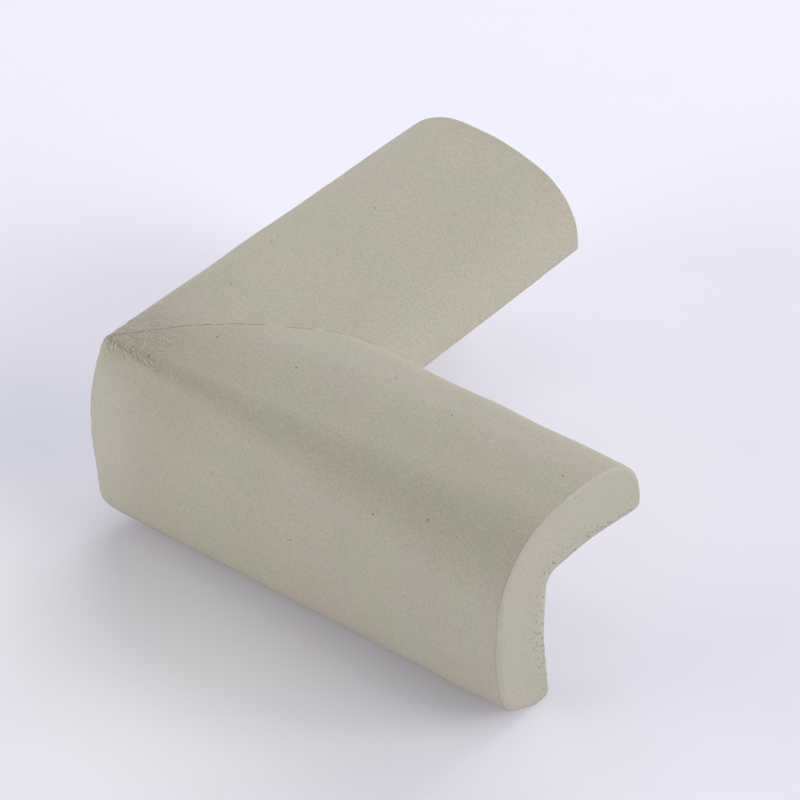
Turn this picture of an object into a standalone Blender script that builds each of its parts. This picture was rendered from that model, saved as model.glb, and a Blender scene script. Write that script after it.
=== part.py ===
"""A corner piece of foam edge protector strip, standing on its two side legs.

Two lengths of one moulded L-section are cut at 45 degrees and bonded to each other
at a right angle, so that the piece wraps the corner of a table top. The shoulder of
the section is a crisp crest at the mitre and rounds off towards the two cut ends.
Metres, +Z up. The origin is under the middle of the piece, on the floor.
The front arm runs along +X, the back arm along +Y, and the outer corner is at -X, -Y.
"""

import math

import bmesh
import bpy
from mathutils import Matrix, Vector

ARM_LENGTH = 0.0800  # from the outer corner to a cut end
SIDE_HEIGHT = 0.0380  # from the floor to the top of the section at a cut end
TOP_WIDTH = 0.0361  # from the outer face to the nose of the top leg
SIDE_THICKNESS = 0.0123
TOP_THICKNESS = 0.0126
NOSE_FLARE = 0.0023  # how much thicker a leg is at its nose than at the inside corner
INSIDE_RADIUS = 0.0022
LIP_RADIUS = 0.0010

# The mitre's own shape, where the bond has squeezed the foam in at the shoulder and up
MITRE_FACE_INSET = 0.0004
MITRE_CREST_INSET = 0.0024
MITRE_CREST_DROP = 0.0008
MITRE_CROWN_RISE = 0.0011
MITRE_NARROWING = 0.0009

# Shares of the side leg's height
MITRE_FACE_SHARE = 0.68  # where the outer face stands out furthest
END_FACE_SHARE = 0.40
MITRE_FACE_ROUND_SHARE = 2.00
END_FACE_ROUND_SHARE = 0.80

# Shares of the side leg's thickness
FOOT_SHARE = 0.24  # the flat that the leg stands on
FOOT_ROUND_SHARE = 0.50
MITRE_LOW_NOSE_IN_SHARE = 0.16
END_LOW_NOSE_IN_SHARE = 0.22
MITRE_LOW_NOSE_UP_SHARE = 0.05
END_LOW_NOSE_UP_SHARE = 0.32
MITRE_LOW_NOSE_ROUND_SHARE = 0.41
END_LOW_NOSE_ROUND_SHARE = 0.65

# Shares of the top leg's width
MITRE_CROWN_SHARE = 0.41  # where the top starts to fall towards the nose
END_CROWN_SHARE = 0.59
CROWN_ROUND_SHARE = 0.86

# Shares of the top leg's thickness
MITRE_TOP_NOSE_DROP_SHARE = 0.36
END_TOP_NOSE_DROP_SHARE = 0.29
TOP_NOSE_LEAN_SHARE = 0.06
TOP_NOSE_ROUND_SHARE = 0.96

# Shares of the leg that it is on, or of the shorter leg
MITRE_SHOULDER_SHARE = 0.028
END_SHOULDER_SHARE = 0.38
FLARE_START_SHARE = 0.36  # from the nose to where the inner face is flat
FLARE_ROUND_SHARE = 0.85

BOND_GAP = 0.0003  # between the two mitre faces
RINGS = 9  # sections along an arm, the two ends included
FINE_ARC = 14  # points on the round of the shoulder or a nose
PLAIN_ARC = 5

FOAM_COLOUR = (0.43, 0.41, 0.35, 1.0)
FOAM_ROUGHNESS = 0.95

OBJECT_NAME = "edge_protector_corner"


def clear_scene():
    for obj in list(bpy.data.objects):
        bpy.data.objects.remove(obj, do_unlink=True)


def new_collection(name):
    collection = bpy.data.collections.new(name)
    bpy.context.scene.collection.children.link(collection)
    return collection


def foam_material(name):
    material = bpy.data.materials.new(name)
    material.use_nodes = True
    shader = material.node_tree.nodes["Principled BSDF"]
    shader.inputs["Base Color"].default_value = FOAM_COLOUR
    shader.inputs["Roughness"].default_value = FOAM_ROUGHNESS
    shader.inputs["Metallic"].default_value = 0.0
    material.diffuse_color = FOAM_COLOUR
    return material


def between(at_mitre, at_end, share):
    return at_mitre + (at_end - at_mitre) * share


def section_corners(share):
    """The section's corners before rounding, with each one's radius and points.

    share is 0 at the mitre and 1 at a cut end. The rows run clockwise from the foot. Their
    first number runs inwards from the outer face, the second up from the floor.
    """
    inset = between(MITRE_FACE_INSET, 0.0, share)
    face = between(MITRE_FACE_SHARE, END_FACE_SHARE, share)
    face_round = between(MITRE_FACE_ROUND_SHARE, END_FACE_ROUND_SHARE, share)
    side_lip = SIDE_THICKNESS + NOSE_FLARE
    foot_start = side_lip - FOOT_SHARE * SIDE_THICKNESS
    low_in = between(MITRE_LOW_NOSE_IN_SHARE, END_LOW_NOSE_IN_SHARE, share)
    low_up = between(MITRE_LOW_NOSE_UP_SHARE, END_LOW_NOSE_UP_SHARE, share)
    low_round = between(MITRE_LOW_NOSE_ROUND_SHARE, END_LOW_NOSE_ROUND_SHARE, share)
    crest_in = between(MITRE_CREST_INSET, 0.0, share)
    crest_height = SIDE_HEIGHT - between(MITRE_CREST_DROP, 0.0, share)
    shoulder = between(MITRE_SHOULDER_SHARE, END_SHOULDER_SHARE, share)
    crown = between(MITRE_CROWN_SHARE, END_CROWN_SHARE, share) * TOP_WIDTH
    crown_height = SIDE_HEIGHT + between(MITRE_CROWN_RISE, 0.0, share)
    width = TOP_WIDTH - between(MITRE_NARROWING, 0.0, share)
    nose_drop = between(MITRE_TOP_NOSE_DROP_SHARE, END_TOP_NOSE_DROP_SHARE, share)
    inside_height = SIDE_HEIGHT - TOP_THICKNESS
    flat_reach = TOP_WIDTH * (1 - FLARE_START_SHARE)
    flat_start = SIDE_HEIGHT * FLARE_START_SHARE
    return [
        (side_lip, 0.0, LIP_RADIUS, PLAIN_ARC),
        (foot_start, 0.0, FOOT_ROUND_SHARE * SIDE_THICKNESS, PLAIN_ARC),
        (low_in * SIDE_THICKNESS, low_up * SIDE_THICKNESS, low_round * SIDE_THICKNESS, FINE_ARC),
        (inset, face * SIDE_HEIGHT, face_round * SIDE_HEIGHT, PLAIN_ARC),
        (crest_in, crest_height, shoulder * min(SIDE_HEIGHT, TOP_WIDTH), FINE_ARC),
        (crown, crown_height, CROWN_ROUND_SHARE * TOP_WIDTH, PLAIN_ARC),
        (width - TOP_NOSE_LEAN_SHARE * TOP_THICKNESS, SIDE_HEIGHT - nose_drop * TOP_THICKNESS,
         TOP_NOSE_ROUND_SHARE * TOP_THICKNESS, FINE_ARC),
        (width, inside_height - NOSE_FLARE, LIP_RADIUS, PLAIN_ARC),
        (flat_reach, inside_height, FLARE_ROUND_SHARE * TOP_WIDTH, PLAIN_ARC),
        (SIDE_THICKNESS, inside_height, INSIDE_RADIUS, PLAIN_ARC),
        (SIDE_THICKNESS, flat_start, FLARE_ROUND_SHARE * SIDE_HEIGHT, PLAIN_ARC),
    ]


def rounded_corner(before, corner, after, radius, count):
    """This many points of the arc of this radius that touches both sides of the corner."""
    towards_before = (before - corner).normalized()
    towards_after = (after - corner).normalized()
    half_angle = towards_before.angle(towards_after) / 2
    inwards = (towards_before + towards_after).normalized()
    centre = corner + inwards * (radius / math.sin(half_angle))
    turn = math.pi - 2 * half_angle
    first = corner + towards_before * (radius / math.tan(half_angle)) - centre
    side = 1 if towards_before.cross(towards_after) > 0 else -1
    points = []
    for index in range(count):
        angle = -side * turn * index / (count - 1)
        points.append(centre + Matrix.Rotation(angle, 2) @ first)
    return points


def section_outline(share):
    rows = section_corners(share)
    corners = [Vector(row[:2]) for row in rows]
    outline = []
    for index, row in enumerate(rows):
        before = corners[index - 1]
        after = corners[(index + 1) % len(corners)]
        outline += rounded_corner(before, corners[index], after, row[2], row[3])
    return outline


def arm_mesh(name, mirrored):
    """The sections from the mitre plane to the cut end, bridged, with a cap on each end."""
    outer = -ARM_LENGTH / 2
    mitre = section_outline(0.0)
    shape = bmesh.new()
    rings = []
    for index in range(RINGS):
        share = index / (RINGS - 1)
        ring = []
        for start, place in zip(mitre, section_outline(share)):
            along = between(start.x + BOND_GAP / math.sqrt(2), ARM_LENGTH, share)
            level = (outer + along, outer + place.x)
            if mirrored:
                level = level[::-1]
            ring.append(shape.verts.new((*level, place.y)))
        rings.append(ring)
    loops = []
    for ring in rings:
        loops.append([shape.edges.new((ring[i - 1], ring[i])) for i in range(len(ring))])
    for first, second in zip(loops, loops[1:]):
        bmesh.ops.bridge_loops(shape, edges=first + second)
    for loop in (loops[0], loops[-1]):
        bmesh.ops.contextual_create(shape, geom=loop)
    bmesh.ops.recalc_face_normals(shape, faces=shape.faces)
    mesh = bpy.data.meshes.new(name)
    shape.to_mesh(mesh)
    shape.free()
    return mesh


def arm(name, mirrored, collection):
    """One length of strip, square at its far end and mitred at the outer corner."""
    mesh = arm_mesh(name, mirrored)
    mesh.materials.append(foam_material(name + "_foam"))
    for face in mesh.polygons:
        face.use_smooth = True
    mesh.set_sharp_from_angle(angle=math.radians(40))
    obj = bpy.data.objects.new(name, mesh)
    collection.objects.link(obj)
    return obj


def build():
    clear_scene()
    strip = new_collection(OBJECT_NAME)
    arm("front_arm", False, strip)
    arm("back_arm", True, strip)


build()
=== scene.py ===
import math

import bpy
import numpy as np
from mathutils import Matrix, Vector


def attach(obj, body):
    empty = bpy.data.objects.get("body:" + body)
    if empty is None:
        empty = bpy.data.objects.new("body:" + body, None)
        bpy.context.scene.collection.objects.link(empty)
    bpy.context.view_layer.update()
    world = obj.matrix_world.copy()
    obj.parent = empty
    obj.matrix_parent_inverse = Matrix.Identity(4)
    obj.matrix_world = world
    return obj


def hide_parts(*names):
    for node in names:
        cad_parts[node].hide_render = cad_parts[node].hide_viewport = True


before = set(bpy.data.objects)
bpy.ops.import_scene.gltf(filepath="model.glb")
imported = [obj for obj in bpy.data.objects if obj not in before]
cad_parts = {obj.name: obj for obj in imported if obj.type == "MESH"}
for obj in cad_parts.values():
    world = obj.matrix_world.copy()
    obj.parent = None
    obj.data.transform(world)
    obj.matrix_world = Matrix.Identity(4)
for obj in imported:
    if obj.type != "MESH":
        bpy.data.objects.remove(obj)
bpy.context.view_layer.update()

# The camera. It looks down on the outer corner from the front right, through a long lens,
# with the horizon turned a little, as the photograph was taken.
CAMERA_PLACE = Vector((0.41827, -0.58129, 0.61703))
CAMERA_AIM = Vector((-0.00627, -0.00334, 0.01923))
CAMERA_ROLL = math.radians(2.097)
CAMERA_LENS = 270.01

camera_data = bpy.data.cameras.new("camera")
camera_data.lens = CAMERA_LENS
camera_data.sensor_width = 36.0
camera_data.clip_start = 0.01
camera = bpy.data.objects.new("camera", camera_data)
facing = (CAMERA_AIM - CAMERA_PLACE).to_track_quat("-Z", "Y").to_matrix()
turned = facing @ Matrix.Rotation(CAMERA_ROLL, 3, "Z")
camera.matrix_world = Matrix.Translation(CAMERA_PLACE) @ turned.to_4x4()
bpy.context.scene.collection.objects.link(camera)
bpy.context.scene.camera = camera


# The table and the light. A smooth, pale lavender sheet lies under the piece, and broad soft
# lamps hang above and behind it, so that the front of the piece throws a soft shadow.
FLOOR_HALF = 3.0
FLOOR_COLOUR = (0.84, 0.83, 0.925, 1.0)
FLOOR_PAINTED_SHADOW_AND_LIGHT = (  # middle, reach and colour of patches of painted shadow and painted light about the piece
    # painted shadow on the table to the left of the outer corner
    ((-0.060, -0.028, 0.0), 0.030, (0.76, 0.775, 0.88, 1.0)),
    # painted light that thins the shadow in front of the outer corner and in front of the piece
    ((-0.046, -0.066, 0.0), 0.038, (0.965, 0.955, 1.0, 1.0)),
    ((-0.004, -0.068, 0.0), 0.044, (0.955, 0.945, 1.0, 1.0)),
    # painted light that lifts the shade on the table inside the L
    ((0.020, 0.025, 0.0), 0.065, (0.925, 0.915, 1.0, 1.0)),
)
FLOOR_ROUGHNESS = 0.9
FLOOR_SPECULAR = 0.2
FLOOR_GLOW = 0.09  # how much of its colour the camera sees whatever the light


def node(tree, kind, inputs=None, **settings):
    """A node whose inputs, by name or number, are set to a value or fed by an output."""
    made = tree.nodes.new(kind)
    for name, value in settings.items():
        setattr(made, name, value)
    for socket, value in (inputs or {}).items():
        if isinstance(value, bpy.types.NodeSocket):
            tree.links.new(value, made.inputs[socket])
        else:
            made.inputs[socket].default_value = value
    return made


def calculated(tree, operation, first, second):
    """The outcome of one sum on two numbers."""
    return node(tree, "ShaderNodeMath", {0: first, 1: second}, operation=operation).outputs[0]


def blended(tree, share, first, second):
    """The colour that goes from first to second as share goes from 0 to 1."""
    made = node(tree, "ShaderNodeMix", {0: share, 6: first, 7: second}, data_type="RGBA")
    return made.outputs[2]


def ramped(tree, value, low, high, at_low=0.0, at_high=1.0):
    """The value eased from at_low, where it is low or less, to at_high, where it is high."""
    made = node(tree, "ShaderNodeMapRange", {0: value, 1: low, 2: high, 3: at_low, 4: at_high},
                interpolation_type="SMOOTHSTEP")
    return made.outputs[0]


def floor_material():
    """The sheet's matt colour with its patches of painted shadow and painted light, and the glow
    that the camera sees.
    """
    material = bpy.data.materials.new("pale_table")
    material.use_nodes = True
    tree = material.node_tree
    shader = tree.nodes["Principled BSDF"]
    place = node(tree, "ShaderNodeTexCoord").outputs["Object"]
    colour = FLOOR_COLOUR
    # blends in the painted shadow and painted light of each patch
    for centre, reach, other in FLOOR_PAINTED_SHADOW_AND_LIGHT:
        away = node(tree, "ShaderNodeVectorMath", {0: place, 1: centre}, operation="DISTANCE")
        share = ramped(tree, away.outputs["Value"], reach, 0.0)
        colour = blended(tree, share, colour, other)
    tree.links.new(colour, shader.inputs["Base Color"])
    shader.inputs["Roughness"].default_value = FLOOR_ROUGHNESS
    shader.inputs["Specular IOR Level"].default_value = FLOOR_SPECULAR
    glow = node(tree, "ShaderNodeEmission", {"Color": colour})
    path = node(tree, "ShaderNodeLightPath").outputs
    seen = calculated(tree, "MAXIMUM", path["Is Camera Ray"], path["Is Glossy Ray"])
    seen = calculated(tree, "MAXIMUM", seen, path["Is Transmission Ray"])
    glowing = calculated(tree, "MULTIPLY", seen, FLOOR_GLOW)
    mixed = node(tree, "ShaderNodeMixShader",
                 {0: glowing, 1: shader.outputs[0], 2: glow.outputs[0]})
    tree.links.new(mixed.outputs[0], tree.nodes["Material Output"].inputs["Surface"])
    return material


def floor():
    """The sheet as one large square."""
    mesh = bpy.data.meshes.new("table_top")
    corners = [(-1, -1, 0), (1, -1, 0), (1, 1, 0), (-1, 1, 0)]
    mesh.from_pydata((np.array(corners) * FLOOR_HALF).tolist(), [], [(0, 1, 2, 3)])
    mesh.materials.append(floor_material())
    made = bpy.data.objects.new("table_top", mesh)
    bpy.context.scene.collection.objects.link(made)
    return made


def soft_lamp(name, place, size, power, colour=(1.0, 1.0, 1.0)):
    """A square lamp of this size, at this place, that faces the middle of the piece."""
    data = bpy.data.lights.new(name, "AREA")
    data.size = size
    data.energy = power
    data.color = colour
    lamp = bpy.data.objects.new(name, data)
    lamp.location = place
    lamp.rotation_euler = (-Vector(place)).to_track_quat("-Z", "Y").to_euler()
    bpy.context.scene.collection.objects.link(lamp)


floor()
soft_lamp("high_lamp", (0.0, 0.1, 1.6), 0.6, 1.6)
soft_lamp("back_lamp", (0.1, 1.3, 0.9), 0.5, 4.3, (1.0, 1.0, 1.03))
soft_lamp("low_back_lamp", (0.1, 1.4, 0.5), 1.0, 2.5)
soft_lamp("right_back_lamp", (0.9, 0.9, 0.9), 1.2, 4.2)
soft_lamp("right_lamp", (1.3, 0.5, 0.6), 1.0, 14.5)
soft_lamp("left_back_lamp", (-0.45, 0.65, 0.62), 0.7, 3.5, (1.0, 1.0, 1.14))
soft_lamp("low_front_lamp", (-0.5, -0.78, 0.2), 0.55, 6.1, (1.0, 0.99, 0.97))
soft_lamp("left_lamp", (-1.3, -0.4, 0.6), 0.9, 4.6)
world = bpy.data.worlds.new("studio")
world.use_nodes = True
background = world.node_tree.nodes["Background"]
background.inputs["Color"].default_value = (1.0, 0.975, 0.92, 1.0)
background.inputs["Strength"].default_value = 0.12
bpy.context.scene.world = world
bpy.context.scene.view_settings.view_transform = "Standard"


# The foam. Two lengths of one moulded L-section in soft rubber foam with a thin matt skin,
# cut at 45 degrees and bonded along the mitre. The far ends are sawn square.
ARM_LENGTH = 0.0800
SIDE_HEIGHT = 0.0380
TOP_WIDTH = 0.0361
SIDE_THICKNESS = 0.0123
TOP_THICKNESS = 0.0126
NOSE_FLARE = 0.0023
SHOULDER_RADIUS = 0.0137
MITRE_GAP = 0.00003  # from the bond plane to the foam on each side

GROOVE_DEPTH = 0.00020  # of the bond's line at the outer corner
GROOVE_FADE = 0.00013  # how much shallower it is at the inner corner
GROOVE_WIDTH = 0.00018
GROOVE_PITCH = 0.0021  # of its dashes
RIM_ROUND = 0.00013  # the quarter round at the sawn rim
SWELL_HEIGHT, SWELL_PITCH = 0.00010, 0.016
RIPPLE_HEIGHT, RIPPLE_PITCH = 0.00003, 0.004
CRUMPLE_HEIGHT, CRUMPLE_PITCH = 0.00012, 0.0021
CRUMPLE_CENTRE = np.array([0.0050, 0.0045, 0.0376])  # the crushed tip: along, in and up
CRUMPLE_REACH = 0.0065

ARC_POINTS = 24
ACROSS = 8  # steps over the wall's thickness on a cut face
ROUND = 150  # steps along the outside, and along the inside, of the section
STEPS = 150  # rings along an arm


def section(at_end):
    """The closed outline (u, z) of the foam at the mitre, or at the cut end.

    u runs inwards from the outer face and z up. A corner is written as (u, z, radius).
    Each corner of a polygon is replaced by an arc. Its centre lies on the corner's bisector,
    at radius / sin(half the corner's angle), and it runs from one side's touching point to the
    other's by turning one radius into the other evenly. Result: corners x arc points x 2.
    """
    lip = SIDE_THICKNESS + NOSE_FLARE
    ceiling = SIDE_HEIGHT - TOP_THICKNESS
    if at_end:
        low_nose = (0.0027, 0.0039, 0.0080)
        face = (0.0, SIDE_HEIGHT * 0.40, SIDE_HEIGHT * 0.8)
        shoulder = (0.0, SIDE_HEIGHT, SHOULDER_RADIUS)
        crown = (0.0213, SIDE_HEIGHT, TOP_WIDTH * 0.86)
        nose = (TOP_WIDTH - 0.0008, SIDE_HEIGHT - 0.0036, TOP_THICKNESS * 0.96)
        upper_lip = (TOP_WIDTH, ceiling - NOSE_FLARE, 0.0010)
    else:  # the bond has squeezed the foam in at the shoulder, and up
        low_nose = (0.0023, 0.0007, 0.0063)
        face = (0.0004, SIDE_HEIGHT * 0.68, SIDE_HEIGHT * 2.0)
        shoulder = (0.0024, SIDE_HEIGHT - 0.0008, 0.0010)
        crown = (0.0148, SIDE_HEIGHT + 0.0011, TOP_WIDTH * 0.86)
        nose = (TOP_WIDTH - 0.0017, SIDE_HEIGHT - 0.0045, TOP_THICKNESS * 0.96)
        upper_lip = (TOP_WIDTH - 0.0009, ceiling - NOSE_FLARE, 0.0010)
    rows = np.array([
        (lip, 0.0, 0.0010),
        (lip - SIDE_THICKNESS * 0.24, 0.0, SIDE_THICKNESS * 0.5),
        low_nose,
        face,
        shoulder,
        crown,
        nose,
        upper_lip,
        (TOP_WIDTH * 0.64, ceiling, TOP_WIDTH * 0.85),
        (SIDE_THICKNESS, ceiling, 0.0022),
        (SIDE_THICKNESS, SIDE_HEIGHT * 0.36, SIDE_HEIGHT * 0.85),
    ])
    corner, radius = rows[:, :2], rows[:, 2:]
    before = np.roll(corner, 1, axis=0) - corner
    after = np.roll(corner, -1, axis=0) - corner
    before /= np.linalg.norm(before, axis=1, keepdims=True)
    after /= np.linalg.norm(after, axis=1, keepdims=True)
    half = np.arccos((before * after).sum(axis=1, keepdims=True)) / 2
    bisector = before + after
    bisector /= np.linalg.norm(bisector, axis=1, keepdims=True)
    centre = corner + bisector * radius / np.sin(half)
    first = corner + before * radius / np.tan(half) - centre
    last = corner + after * radius / np.tan(half) - centre
    turn = (np.pi - 2 * half)[:, :, None]
    share = np.linspace(0, 1, ARC_POINTS)[None, :, None]
    arc = np.sin((1 - share) * turn) * first[:, None] + np.sin(share * turn) * last[:, None]
    return centre[:, None] + arc / np.sin(turn)


def section_pair():
    """Two rings of the same number of points (u, z), at the mitre and at the cut end.

    The points are spread evenly along the mean of the two outlines, in four stretches: the
    outside from foot to nose, the upper lip's arc, the inside, and the lower lip's arc.
    """
    outlines = [section(False).reshape(-1, 2), section(True).reshape(-1, 2)]
    outlines = [np.concatenate([line, line[:1]]) for line in outlines]
    mean = (outlines[0] + outlines[1]) / 2
    run = np.concatenate([[0], np.cumsum(np.linalg.norm(np.diff(mean, axis=0), axis=1))])
    ends = run[[ARC_POINTS - 1, 7 * ARC_POINTS, 8 * ARC_POINTS - 1, 11 * ARC_POINTS]]
    places = np.concatenate([
        np.linspace(ends[0], ends[1], ROUND, endpoint=False),
        np.linspace(ends[1], ends[2], ACROSS, endpoint=False),
        np.linspace(ends[2], ends[3], ROUND, endpoint=False),
        np.linspace(0, ends[0], ACROSS, endpoint=False),
    ])
    return [np.stack([np.interp(places, run, line[:, 0]), np.interp(places, run, line[:, 1])], 1)
            for line in outlines]


def swell(points, pitch, seed):
    """Soft unevenness, mostly from -1 to 1: 1.6 times the mean of eight random sine waves."""
    rng = np.random.default_rng(seed)
    ways = rng.normal(size=(8, 3))
    ways *= 2 * np.pi / pitch / np.linalg.norm(ways, axis=1, keepdims=True)
    return np.sin(points @ ways.T + rng.uniform(0, 2 * np.pi, 8)).mean(axis=-1) * 1.6


def arm_steps():
    """Shares of the arm's length: even steps, and finer ones at the groove and at the rim."""
    even = np.linspace(0, 1, STEPS - 11)
    edge = np.array([0.0012, 0.0025, 0.004])
    return np.unique(np.concatenate([even, edge, edge * 2.6 + 0.002, 1 - edge, [0.9945, 0.9925]]))


def arm_rings(seed):
    """The skin of one arm, steps x ring x 3, as distances along, in from the face, and up.

    A ring is (1 - share) * mitre section + share * end section, and along runs from the
    mitre plane, where it equals u, to the arm's length. The skin then moves along its own
    normal in the section: in by a groove at the bond that fades as exp(-distance / width),
    and comes in dashes, in by a quarter round at the cut rim, and both ways by slow swells and
    by a crumple that fades as exp(-(distance from the tip / reach) squared).
    """
    mitre, end = section_pair()
    share = arm_steps()[:, None]
    flat = mitre[None] * (1 - share[..., None]) + end[None] * share[..., None]
    start = mitre[:, 0] + MITRE_GAP * math.sqrt(2)
    along = start[None] * (1 - share) + ARM_LENGTH * share
    way = np.roll(flat, -1, axis=1) - np.roll(flat, 1, axis=1)
    way /= np.linalg.norm(way, axis=2, keepdims=True)
    outward = np.stack([-way[..., 1], way[..., 0]], axis=2)
    place = np.stack([along, flat[..., 0], flat[..., 1]], axis=2)
    from_bond = (along - flat[..., 0]) / math.sqrt(2)
    from_end = ARM_LENGTH - along
    dashes = np.clip(0.45 + 1.6 * swell(place, GROOVE_PITCH, 40), 0.1, 1)
    depth = GROOVE_DEPTH - GROOVE_FADE * np.clip(flat[..., 0] / TOP_WIDTH, 0, 1)
    groove = depth * dashes * np.exp(-from_bond / GROOVE_WIDTH)
    near = np.clip(1 - from_end / RIM_ROUND, 0, 1)
    rounding = RIM_ROUND * (1 - np.sqrt(1 - near ** 2))
    uneven = SWELL_HEIGHT * swell(place, SWELL_PITCH, seed)
    uneven += RIPPLE_HEIGHT * swell(place, RIPPLE_PITCH, seed + 1)
    fade = np.clip(from_bond / 0.004, 0, 1) * np.clip(flat[..., 1] / 0.003, 0, 1)
    from_tip = np.linalg.norm(place - CRUMPLE_CENTRE, axis=2)
    crumpled = CRUMPLE_HEIGHT * swell(place, CRUMPLE_PITCH, seed + 2)
    crumpled *= np.exp(-(from_tip / CRUMPLE_REACH) ** 2)
    crumpled *= np.clip(from_bond / 0.0006, 0, 1)
    push = uneven * fade + crumpled - groove - rounding
    return np.concatenate([along[..., None], flat + outward * push[..., None]], axis=2)


def cap_inside(ring):
    """The points inside one cut face: the section's two long sides joined by straight lines.

    share runs across the wall from the outside to the inside, and each short side's bulge
    beyond its own chord is added, fading out along the section.
    """
    count = ROUND + 1
    outer = ring[:count]
    inner = np.roll(ring, -(ROUND + ACROSS), axis=0)[:count][::-1]
    foot = np.roll(ring, -(2 * ROUND + ACROSS), axis=0)[:ACROSS + 1][::-1]
    nose = ring[ROUND:ROUND + ACROSS + 1]
    across = np.linspace(0, 1, ACROSS + 1)[None, :, None]
    far = np.linspace(0, 1, count)[:, None, None]
    straight = outer[:, None] * (1 - across) + inner[:, None] * across
    foot_bulge = foot[None] - straight[:1]
    nose_bulge = nose[None] - straight[-1:]
    return (straight + (1 - far) ** 6 * foot_bulge + far ** 6 * nose_bulge)[1:-1, 1:-1]


def cap_numbers(ring_start, inside_start):
    """Vertex numbers of one cut face as a grid, (ROUND + 1) x (ACROSS + 1)."""
    total = 2 * (ROUND + ACROSS)
    numbers = np.zeros((ROUND + 1, ACROSS + 1), int)
    numbers[:, 0] = ring_start + np.arange(ROUND + 1)
    numbers[:, -1] = ring_start + (2 * ROUND + ACROSS - np.arange(ROUND + 1)) % total
    numbers[0, :] = ring_start + (2 * ROUND + 2 * ACROSS - np.arange(ACROSS + 1)) % total
    numbers[-1, :] = ring_start + ROUND + np.arange(ACROSS + 1)
    inside = np.arange((ROUND - 1) * (ACROSS - 1)).reshape(ROUND - 1, ACROSS - 1)
    numbers[1:-1, 1:-1] = inside_start + inside
    return numbers


def grid_faces(numbers):
    """A face for each cell of a grid of vertex numbers."""
    return np.stack([numbers[:-1, :-1], numbers[1:, :-1], numbers[1:, 1:], numbers[:-1, 1:]],
                    axis=2).reshape(-1, 4)


def foam_arm(name, mirrored, seed, skin, sawn):
    """One arm as a closed mesh: the skin's rings and a grid on each of its two cut faces."""
    rings = arm_rings(seed)
    steps, total = rings.shape[:2]
    caps = [cap_inside(rings[0]), cap_inside(rings[-1])]
    points = np.concatenate([rings.reshape(-1, 3)] + [cap.reshape(-1, 3) for cap in caps])
    points[:, :2] -= ARM_LENGTH / 2
    numbers = np.arange(steps * total).reshape(steps, total)
    wrapped = np.concatenate([numbers, numbers[:, :1]], axis=1)
    inside_start = steps * total
    mitre_cap = grid_faces(cap_numbers(0, inside_start))
    end_numbers = cap_numbers((steps - 1) * total, inside_start + caps[0][..., 0].size)
    end_cap = grid_faces(end_numbers)
    faces = np.concatenate([grid_faces(wrapped), mitre_cap, end_cap[:, ::-1]])
    if mirrored:
        points = points[:, [1, 0, 2]]
        faces = faces[:, ::-1]
    mesh = bpy.data.meshes.new(name)
    mesh.from_pydata(points.tolist(), [], faces.tolist())
    mesh.materials.append(skin)
    mesh.materials.append(sawn)
    slots = np.zeros(len(faces), np.int32)
    slots[-len(end_cap):] = 1
    mesh.polygons.foreach_set("material_index", slots)
    mesh.polygons.foreach_set("use_smooth", np.ones(len(faces), bool))
    mesh.set_sharp_from_angle(angle=math.radians(50))
    across = np.zeros(len(points), np.float32)
    grid = np.linspace(0, 1, ACROSS + 1)[None].repeat(ROUND + 1, axis=0)
    across[end_numbers] = grid
    mesh.attributes.new("across", "FLOAT", "POINT").data.foreach_set("value", across)
    made = bpy.data.objects.new(name, mesh)
    bpy.context.scene.collection.objects.link(made)
    return made


# The foam's finish. A matt warm grey with fine grain, faint patches that lean to pink or to
# green, light flecks and a few open pores. The sawn ends show the lighter foam under the skin.
SKIN_COLOUR = (0.415, 0.411, 0.328, 1.0)
SKIN_COLOUR_WARM = (0.444, 0.400, 0.333, 1.0)
SAWN_COLOUR = (0.434, 0.436, 0.350, 1.0)
SAWN_COLOUR_WARM = (0.464, 0.426, 0.357, 1.0)
PORE_COLOUR = (0.12, 0.105, 0.08, 1.0)
FLECK_COLOUR = (0.56, 0.55, 0.46, 1.0)
# painted shade in the creases by the tip, and the colour of the darker, browner patch on the
# shoulder
CREASE_SHADE_AND_DARK_PATCH_COLOUR = (0.27, 0.225, 0.155, 1.0)
RIM_COLOUR = (0.52, 0.49, 0.41, 1.0)
# painted light beside the outer corner's upright edge
PAINTED_EDGE_LIGHT_COLOUR = (0.49, 0.48, 0.42, 1.0)
BACK_PAINTED_LIGHT_TONE = 1.075  # painted light: how much lighter the back length's skin is painted at the inner corner, where it takes more light than the front length
FOAM_ROUGHNESS = 0.95
FOAM_SPECULAR = 0.2
CLOUD_SCALE = 85.0
FLECK_SCALE = 1100.0
FLECK_SHARE = 0.5
PORE_SHARE = 0.65
SKIN_GRAIN = 0.095  # how much the grain lightens and darkens the colour
SAWN_GRAIN = 0.10
SKIN_RELIEF = (0.5, 0.00022)  # strength and depth
SAWN_RELIEF = (0.6, 0.00025)

# Marks on the skin, painted light and painted shade among them. A pair is the value where the mark
# is nothing, and the one where it is full.
BACK_PAINTED_LIGHT_RANGE = (-0.065, -0.035)  # of x + y
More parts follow.
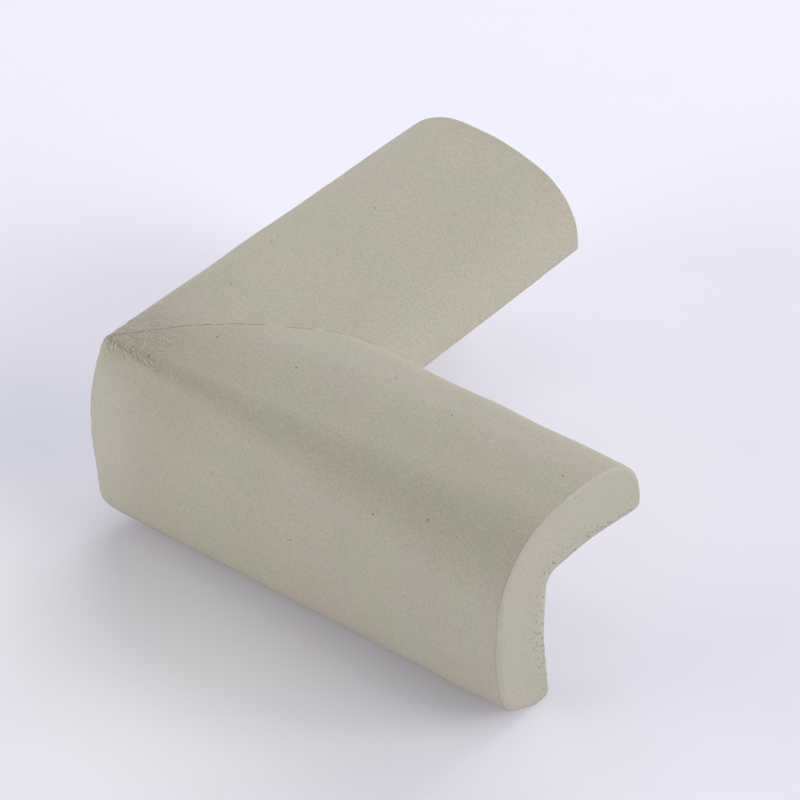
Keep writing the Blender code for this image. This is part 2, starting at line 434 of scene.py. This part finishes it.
# where the painted light beside the outer corner's upright edge lies, below the shoulder
PAINTED_EDGE_LIGHT_RANGE = (-0.066, -0.077)  # of x + y
PAINTED_EDGE_LIGHT_HEIGHT = (0.035, 0.029)
PAINTED_EDGE_LIGHT_SHARE = 0.5
DIAGONAL = 0.7071  # the bond's distance is this share of the difference of x and y
BOND_WIDTH = (0.00016, 0.00004)
BOND_FADE = (-0.050, -0.022)  # the x + y where the bond's line is full, and where this is left:
BOND_LEFT = 0.2
BOND_DASH_SCALE = 520.0
BOND_DASHES = (0.42, 0.56)
BOND_SHARE = 0.42
THREAD_WIDTH = (0.00042, 0.00012)
THREAD_SCALE = 300.0
THREADS = (0.60, 0.66)
THREAD_SHARE = 0.6
TIP = (-0.0362, -0.0362, 0.0370)  # the crushed corner of the shoulder at the mitre
CREASE_REACH = (0.013, 0.003)
CREASE_HEIGHT = (0.0345, 0.0365)
CREASE_WAYS = (  # the turn, and the scales along and across, of two sets of short creases
    (0.9, (1400.0, 420.0, 900.0)),
    (-0.7, (480.0, 1300.0, 800.0)),
)
CREASE_WIDTH = (0.13, 0.0)
# painted shade: how far the creases are darkened
CREASE_PAINTED_SHADE_SHARE = 0.05
CREASE_DEPTH = 2.8
DARK_PATCH_PLACE = (-0.0245, -0.0370, 0.0365)  # a darker, browner patch of the shoulder by the tip
DARK_PATCH_REACH = (0.016, 0.002)
DARK_PATCH_SHARE = 0.15

# Marks on the sawn ends, by the share of the wall's thickness from the outside to the inside
CELL_SCALE = 1250.0
CELL_SIZE = (0.30, 0.12)
CELL_RANGE = (0.50, 1.0)
CELL_SHARE = 0.6
RIM_RANGE = (0.10, 0.0)
RIM_SHARE = 0.35


def scaled(tree, colour, tone):
    """The colour, lighter or darker by this factor."""
    made = node(tree, "ShaderNodeVectorMath", {0: colour, "Scale": tone}, operation="SCALE")
    return made.outputs[0]


def noise(tree, place, scale, detail, roughness):
    """Cloudy numbers around a half, over this place, in lumps of one over scale metres."""
    made = node(tree, "ShaderNodeTexNoise", {
        "Vector": place, "Scale": scale, "Detail": detail, "Roughness": roughness,
    })
    return made.outputs[0]


def foam_grain():
    """A node group that gives the foam's grain, patches, flecks and pores.

    Grain and patches are clouds of noise. A pore or a fleck is a ball about each centre of a
    cell pattern, so that the surface cuts through some of them at random.
    """
    group = bpy.data.node_groups.new("foam_grain", "ShaderNodeTree")
    for name, value in (("Grain Scale", 2300.0), ("Patch Scale", 620.0), ("Pore Scale", 205.0),
                        ("Pore Size", 0.050), ("Fleck Size", 0.16)):
        socket = group.interface.new_socket(name, in_out="INPUT", socket_type="NodeSocketFloat")
        socket.default_value = value
    for name in ("Grain", "Patch", "Cloud", "Flecks", "Pores", "Height"):
        group.interface.new_socket(name, in_out="OUTPUT", socket_type="NodeSocketFloat")
    given = node(group, "NodeGroupInput").outputs
    place = node(group, "ShaderNodeTexCoord").outputs["Object"]
    grain = noise(group, place, given["Grain Scale"], 3.0, 0.7)
    patch = noise(group, place, given["Patch Scale"], 2.0, 0.5)
    cloud = noise(group, place, CLOUD_SCALE, 3.0, 0.5)
    pore = node(group, "ShaderNodeTexVoronoi", {"Vector": place, "Scale": given["Pore Scale"]})
    low = calculated(group, "MULTIPLY", given["Pore Size"], 0.45)
    pores = ramped(group, pore.outputs["Distance"], given["Pore Size"], low)
    fleck = node(group, "ShaderNodeTexVoronoi", {"Vector": place, "Scale": FLECK_SCALE})
    near = ramped(group, fleck.outputs["Distance"], given["Fleck Size"], 0.0)
    chosen = node(group, "ShaderNodeSeparateColor", {0: fleck.outputs["Color"]}).outputs[0]
    flecks = calculated(group, "MULTIPLY", near, ramped(group, chosen, 0.55, 0.6))
    height = calculated(group, "SUBTRACT", grain, calculated(group, "MULTIPLY", pores, 2.0))
    height = calculated(group, "ADD", height, calculated(group, "MULTIPLY", patch, 0.5))
    node(group, "NodeGroupOutput", {"Grain": grain, "Patch": patch, "Cloud": cloud,
                                    "Flecks": flecks, "Pores": pores, "Height": height})
    return group


def foam_shader(name, grain_group, base, warm, contrast, values):
    """A new foam material, its grain node, and its colour before any special marks.

    The colour goes from base to warm by the patches and clouds, is scaled about 1 by the grain,
    and turns to the fleck's and the pore's colours in their places.
    """
    material = bpy.data.materials.new(name)
    material.use_nodes = True
    tree = material.node_tree
    grain = node(tree, "ShaderNodeGroup", node_tree=grain_group)
    for socket, value in values.items():
        grain.inputs[socket].default_value = value
    tone = ramped(tree, grain.outputs["Grain"], 0.25, 0.75, 1.0 - contrast, 1.0 + contrast)
    hue = calculated(tree, "ADD", grain.outputs["Patch"], grain.outputs["Cloud"])
    tint = blended(tree, ramped(tree, hue, 0.75, 1.25), base, warm)
    colour = scaled(tree, tint, tone)
    flecks = calculated(tree, "MULTIPLY", grain.outputs["Flecks"], FLECK_SHARE)
    colour = blended(tree, flecks, colour, FLECK_COLOUR)
    pores = calculated(tree, "MULTIPLY", grain.outputs["Pores"], PORE_SHARE)
    return material, grain, blended(tree, pores, colour, PORE_COLOUR)


def finished(material, colour, height, strength, distance):
    """Feeds the colour and the relief to the material's shader, which is matt."""
    tree = material.node_tree
    shader = tree.nodes["Principled BSDF"]
    shader.inputs["Roughness"].default_value = FOAM_ROUGHNESS
    shader.inputs["Specular IOR Level"].default_value = FOAM_SPECULAR
    relief = node(tree, "ShaderNodeBump", {
        "Height": height, "Strength": strength, "Distance": distance,
    })
    tree.links.new(colour, shader.inputs["Base Color"])
    tree.links.new(relief.outputs[0], shader.inputs["Normal"])
    return material


def skin_material(grain_group):
    """The moulded skin, with the bond's fine dashed line, the wrinkles about its outer tip with
    painted shade in their creases, a darker, browner patch by the tip, painted light on the back
    length by the inner corner, and painted light beside the outer corner's upright edge.
    """
    material, grain, colour = foam_shader("foam_skin", grain_group, SKIN_COLOUR, SKIN_COLOUR_WARM,
                                          SKIN_GRAIN, {})
    tree = material.node_tree
    place = node(tree, "ShaderNodeTexCoord").outputs["Object"]
    axes = node(tree, "ShaderNodeSeparateXYZ", {0: place}).outputs
    off = calculated(tree, "MULTIPLY", calculated(tree, "SUBTRACT", axes[0], axes[1]), DIAGONAL)
    off = calculated(tree, "ABSOLUTE", off, 0.0)
    inwards = calculated(tree, "ADD", axes[0], axes[1])
    # painted light on the back length's skin towards the inner corner
    behind = calculated(tree, "LESS_THAN", axes[0], axes[1])
    lighter = ramped(tree, inwards, *BACK_PAINTED_LIGHT_RANGE, 1.0, BACK_PAINTED_LIGHT_TONE)
    colour = scaled(tree, colour, calculated(tree, "POWER", lighter, behind))
    # painted light beside the outer corner's upright edge, below the shoulder
    pale = calculated(tree, "MULTIPLY", ramped(tree, inwards, *PAINTED_EDGE_LIGHT_RANGE),
                      ramped(tree, axes[2], *PAINTED_EDGE_LIGHT_HEIGHT))
    colour = blended(tree, calculated(tree, "MULTIPLY", pale, PAINTED_EDGE_LIGHT_SHARE), colour, PAINTED_EDGE_LIGHT_COLOUR)
    outer = ramped(tree, inwards, *BOND_FADE, 1.0, BOND_LEFT)
    dash = ramped(tree, noise(tree, place, BOND_DASH_SCALE, 2.0, 0.6), *BOND_DASHES)
    line = calculated(tree, "MULTIPLY", ramped(tree, off, *BOND_WIDTH), dash)
    line = calculated(tree, "MULTIPLY", line, outer)
    colour = blended(tree, calculated(tree, "MULTIPLY", line, BOND_SHARE), colour, PORE_COLOUR)
    thread = calculated(tree, "MULTIPLY", ramped(tree, off, *THREAD_WIDTH),
                        ramped(tree, noise(tree, place, THREAD_SCALE, 1.0, 0.5), *THREADS))
    colour = blended(tree, calculated(tree, "MULTIPLY", thread, THREAD_SHARE), colour,
                     FLECK_COLOUR)

    from_tip = node(tree, "ShaderNodeVectorMath", {0: place, 1: TIP}, operation="DISTANCE")
    near = ramped(tree, from_tip.outputs["Value"], *CREASE_REACH)
    crushed = calculated(tree, "MULTIPLY", near, ramped(tree, axes[2], *CREASE_HEIGHT))
    creases = 0.0
    for turn, scale in CREASE_WAYS:
        laid = node(tree, "ShaderNodeMapping", {"Vector": place, "Rotation": (0.3, turn, turn),
                                                "Scale": scale}).outputs[0]
        lump = calculated(tree, "SUBTRACT", noise(tree, laid, 1.0, 1.0, 0.5), 0.5)
        ridge = ramped(tree, calculated(tree, "ABSOLUTE", lump, 0.0), *CREASE_WIDTH)
        creases = calculated(tree, "ADD", ridge, creases)
    creases = calculated(tree, "MULTIPLY", creases, crushed)
    # a darker, browner patch on the shoulder by the tip
    from_dark_patch = node(tree, "ShaderNodeVectorMath", {0: place, 1: DARK_PATCH_PLACE}, operation="DISTANCE")
    dark_patch = ramped(tree, from_dark_patch.outputs["Value"], *DARK_PATCH_REACH, 0.0, DARK_PATCH_SHARE)
    # painted shade in the creases, together with the darker, browner patch
    crease_shade_and_patch = calculated(tree, "ADD", calculated(tree, "MULTIPLY", creases, CREASE_PAINTED_SHADE_SHARE), dark_patch)
    colour = blended(tree, crease_shade_and_patch, colour, CREASE_SHADE_AND_DARK_PATCH_COLOUR)
    height = calculated(tree, "SUBTRACT", grain.outputs["Height"],
                        calculated(tree, "MULTIPLY", creases, CREASE_DEPTH))
    return finished(material, colour, height, *SKIN_RELIEF)


def sawn_material(grain_group):
    """The sawn end: lighter foam whose cut cells show as specks, most of them near the inside."""
    material, grain, colour = foam_shader("foam_sawn", grain_group, SAWN_COLOUR, SAWN_COLOUR_WARM,
                                          SAWN_GRAIN, {"Grain Scale": 2800.0,
                                                       "Pore Scale": 700.0,
                                                       "Pore Size": 0.10, "Fleck Size": 0.2})
    tree = material.node_tree
    inward = node(tree, "ShaderNodeAttribute", attribute_name="across").outputs["Fac"]
    place = node(tree, "ShaderNodeTexCoord").outputs["Object"]
    cell = node(tree, "ShaderNodeTexVoronoi", {"Vector": place, "Scale": CELL_SCALE})
    specks = calculated(tree, "MULTIPLY", ramped(tree, cell.outputs["Distance"], *CELL_SIZE),
                        ramped(tree, inward, *CELL_RANGE))
    colour = blended(tree, calculated(tree, "MULTIPLY", specks, CELL_SHARE), colour, PORE_COLOUR)
    rim = ramped(tree, inward, *RIM_RANGE, 0.0, RIM_SHARE)
    colour = blended(tree, rim, colour, RIM_COLOUR)
    height = calculated(tree, "SUBTRACT", grain.outputs["Height"], specks)
    return finished(material, colour, height, *SAWN_RELIEF)


grain_group = foam_grain()
skin = skin_material(grain_group)
sawn = sawn_material(grain_group)
for name, node_name, mirrored, seed in (
    ("front_foam", "front_arm", False, 3),
    ("back_foam", "back_arm", True, 8),
):
    arm = foam_arm(name, mirrored, seed, skin, sawn)
    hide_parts(node_name)
    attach(arm, "root")
